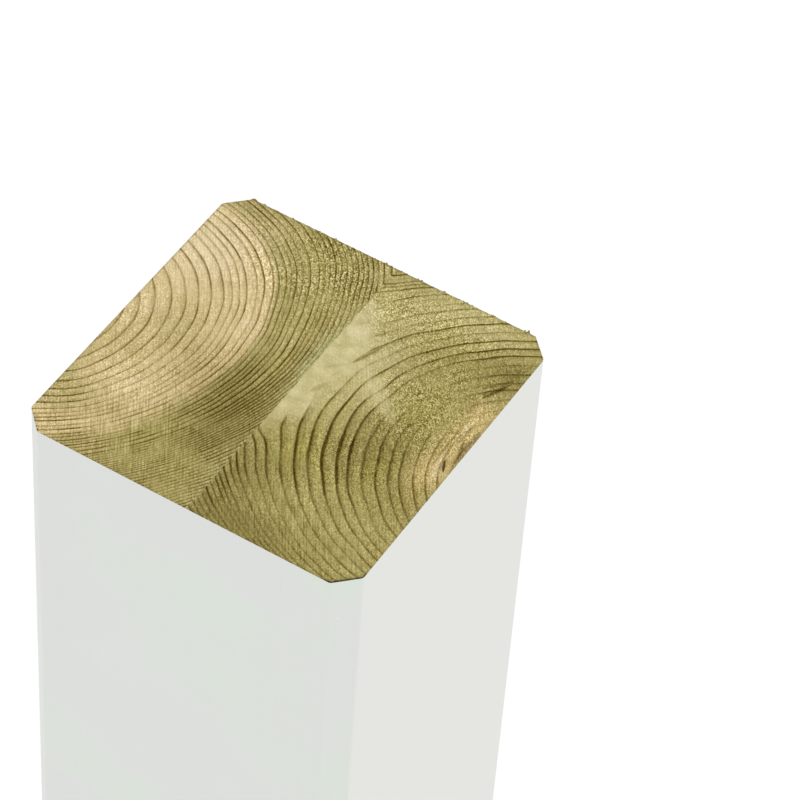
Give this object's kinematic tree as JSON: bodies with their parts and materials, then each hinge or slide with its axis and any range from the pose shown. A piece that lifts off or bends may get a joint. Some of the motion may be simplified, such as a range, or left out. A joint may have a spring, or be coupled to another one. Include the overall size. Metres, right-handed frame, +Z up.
{
  "type": "planed timber post",
  "caption": "Square laminated timber post with chamfered long edges, white painted sides and bare sawn end grain, for carrying fence panels, rails or a light roof.",
  "frame": {"origin": "middle of the underside, where the post stands", "axes": "+Z up along the post, -Y the front face, +X across the glue line towards the right board"},
  "size_m": [0.09, 0.09, 1],
  "materials": {
    "white_painted_pine": "smooth opaque white paint on the planed sides, bare sawn green-treated pine at both ends"
  },
  "bodies": {
    "root": {"left_board": "white_painted_pine", "right_board": "white_painted_pine"}
  },
  "joints": []
}
